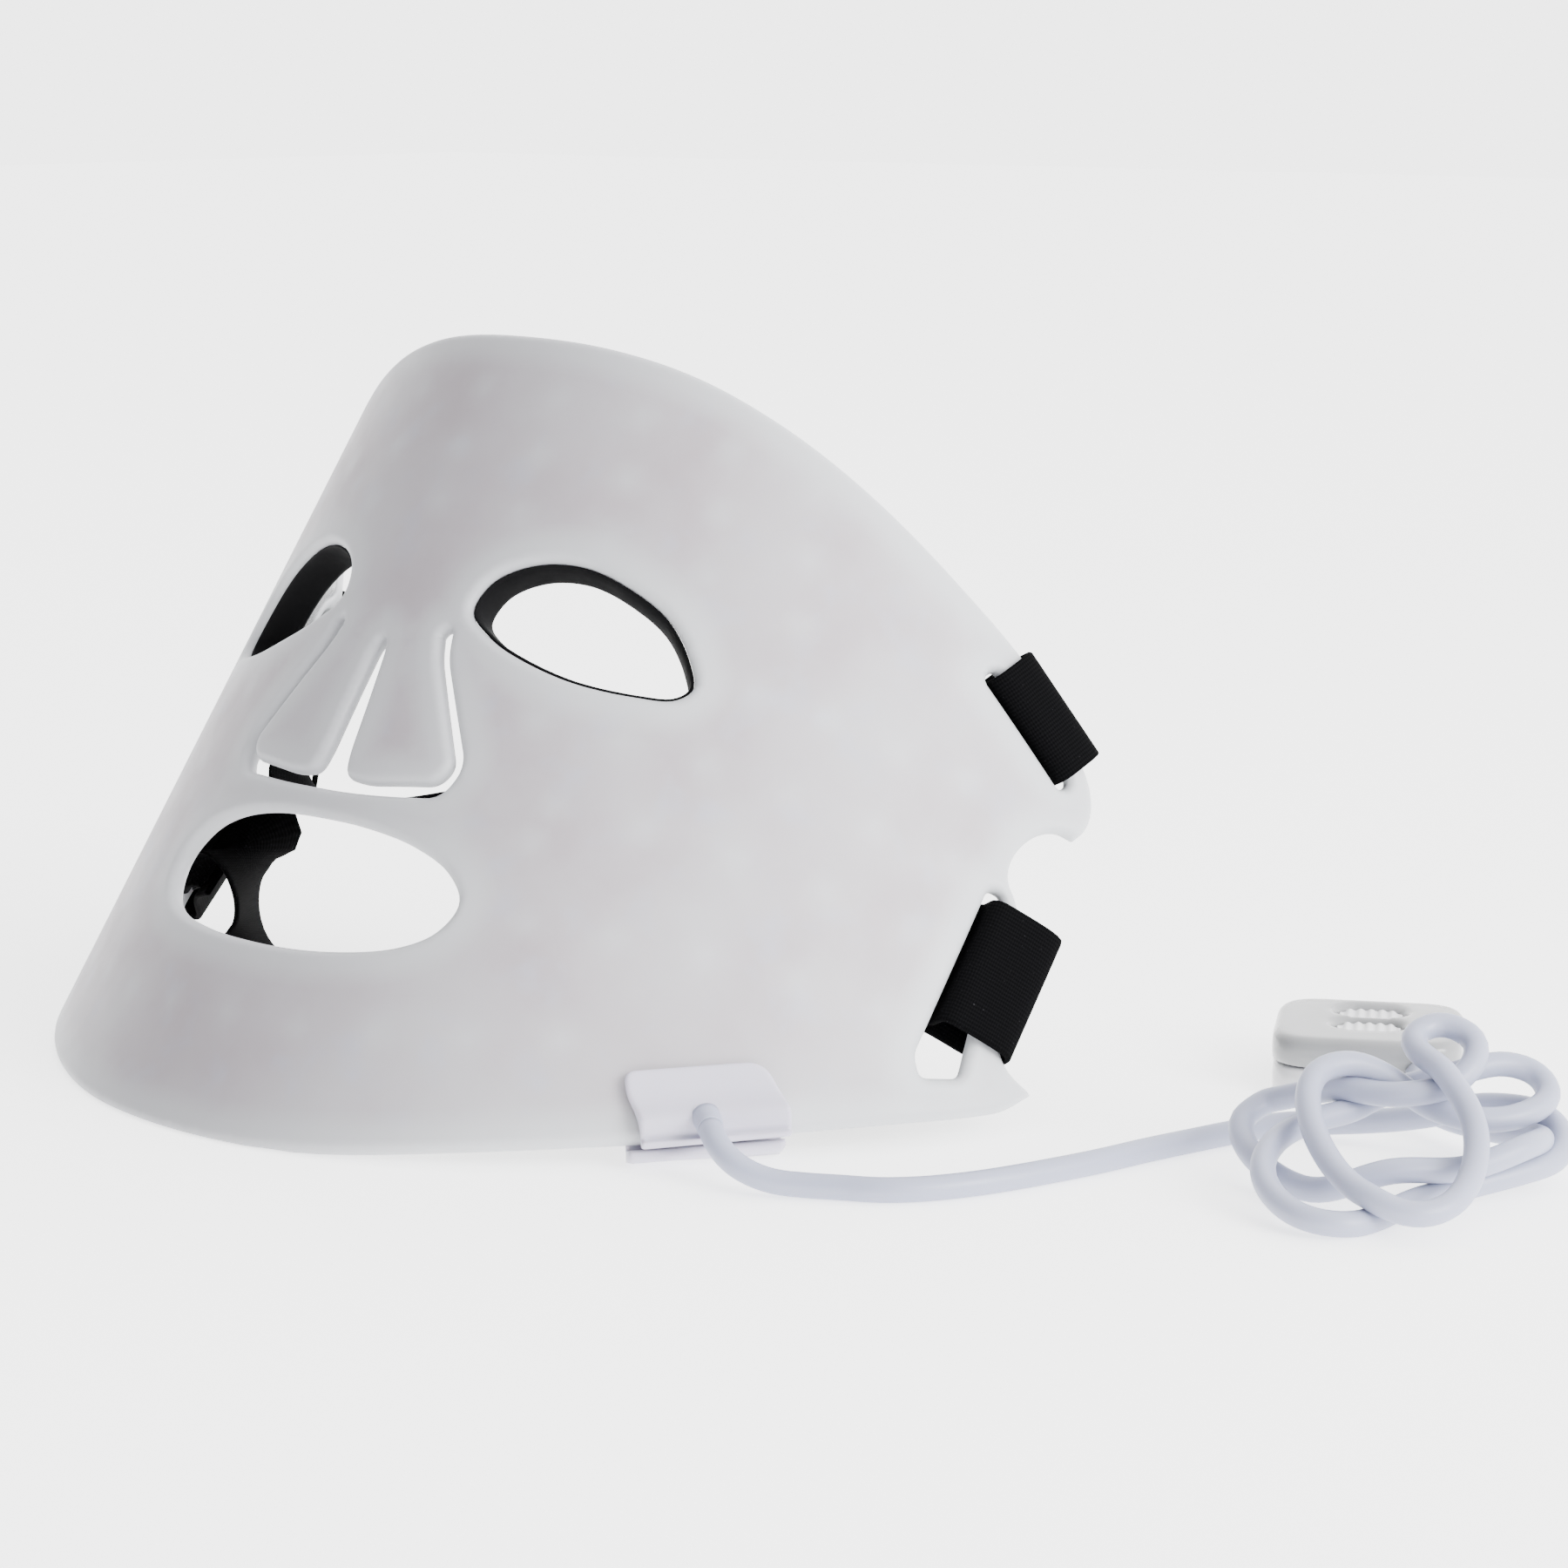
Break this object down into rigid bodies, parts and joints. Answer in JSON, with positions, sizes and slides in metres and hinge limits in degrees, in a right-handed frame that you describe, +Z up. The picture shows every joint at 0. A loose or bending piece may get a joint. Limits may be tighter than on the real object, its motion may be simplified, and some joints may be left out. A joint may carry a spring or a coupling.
{
  "type": "led face mask",
  "caption": "Flexible light therapy face mask: a bent silicone sheet with eye, nose and mouth openings, elastic straps, and a corded controller.",
  "frame": {"origin": "on the table under the middle of the mask and controller together", "axes": "+Z up, -Y the way the mask faces, +X the wearer's left"},
  "size_m": [0.432, 0.2408, 0.1765],
  "materials": {
    "white_silicone": "matte translucent silicone",
    "clear_silicone": "clear soft silicone",
    "black_silicone": "matte",
    "circuit_film": "film",
    "led_package": "gloss",
    "black_elastic": "fine knit",
    "hook_tape": "hook tape",
    "satin_plastic": "satin",
    "board": "solder mask",
    "gold_contact": "plated",
    "steel": "plain",
    "cord_jacket": "satin",
    "white_plastic": "gloss",
    "clear_plastic": "translucent gloss",
    "battery_foil": "foil"
  },
  "bodies": {
    "mask": {"front_silicone": "white_silicone", "skin_liner": "clear_silicone", "eye_guard_left": "black_silicone", "eye_guard_right": "black_silicone", "flex_circuit": "circuit_film", "led_row_forehead_top": "led_package", "led_row_forehead_middle": "led_package", "led_row_brow": "led_package", "led_row_lip": "led_package", "led_row_chin": "led_package", "led_row_cheek_top_left": "led_package", "led_row_cheek_top_right": "led_package", "led_row_cheek_upper_left": "led_package", "led_row_cheek_upper_right": "led_package", "led_row_cheek_lower_left": "led_package", "led_row_cheek_lower_right": "led_package", "led_row_jaw_left": "led_package", "led_row_jaw_right": "led_package", "upper_strap": "black_elastic", "lower_strap": "black_elastic", "upper_strap_hook_left": "hook_tape", "upper_strap_hook_right": "hook_tape", "lower_strap_hook_left": "hook_tape", "lower_strap_hook_right": "hook_tape", "connector_front_cover": "satin_plastic", "connector_rear_cover": "satin_plastic", "connector_board": "board", "controller_board": "board", "connector_contacts": "gold_contact", "connector_screw_1": "steel", "connector_screw_2": "steel", "controller_screw_1": "steel", "controller_screw_2": "steel", "controller_screw_3": "steel", "controller_screw_4": "steel", "charge_port": "steel", "cord_gland": "cord_jacket", "cord_lead": "cord_jacket", "cord_hank": "cord_jacket", "cord_tail": "cord_jacket", "cord_strain_relief": "cord_jacket", "controller_bottom_shell": "white_plastic", "controller_top_shell": "clear_plastic", "controller_battery": "battery_foil"},
    "nose_flap_left": {"nose_flap_left": "white_silicone", "nose_flap_circuit_left": "circuit_film", "nose_flap_leds_left": "led_package", "nose_flap_liner_left": "clear_silicone"},
    "nose_flap_right": {"nose_flap_right": "white_silicone", "nose_flap_circuit_right": "circuit_film", "nose_flap_leds_right": "led_package", "nose_flap_liner_right": "clear_silicone"},
    "button_power": {"button_power": "white_plastic"},
    "button_mode": {"button_mode": "white_plastic"}
  },
  "joints": [
    {"name": "nose_flap_left_hinge", "type": "hinge", "parent": "mask", "child": "nose_flap_left", "pos_m": [-0.02315, -0.0524, 0.1073], "axis": [-0.9591, -0.207, -0.193], "range_deg": [-5, 35], "stiffness_Nm_per_rad": 0.02},
    {"name": "nose_flap_right_hinge", "type": "hinge", "parent": "mask", "child": "nose_flap_right", "pos_m": [-0.04185, -0.0524, 0.107], "axis": [-0.9602, 0.2073, 0.1872], "range_deg": [-5, 35], "stiffness_Nm_per_rad": 0.02},
    {"name": "button_power_press", "type": "slide", "parent": "mask", "child": "button_power", "axis": [0, 0, -1], "range_m": [0, 0.0008], "stiffness_N_per_m": 500, "springref_m": -0.001},
    {"name": "button_mode_press", "type": "slide", "parent": "mask", "child": "button_mode", "axis": [0, 0, -1], "range_m": [0, 0.0008], "stiffness_N_per_m": 500, "springref_m": -0.001}
  ]
}
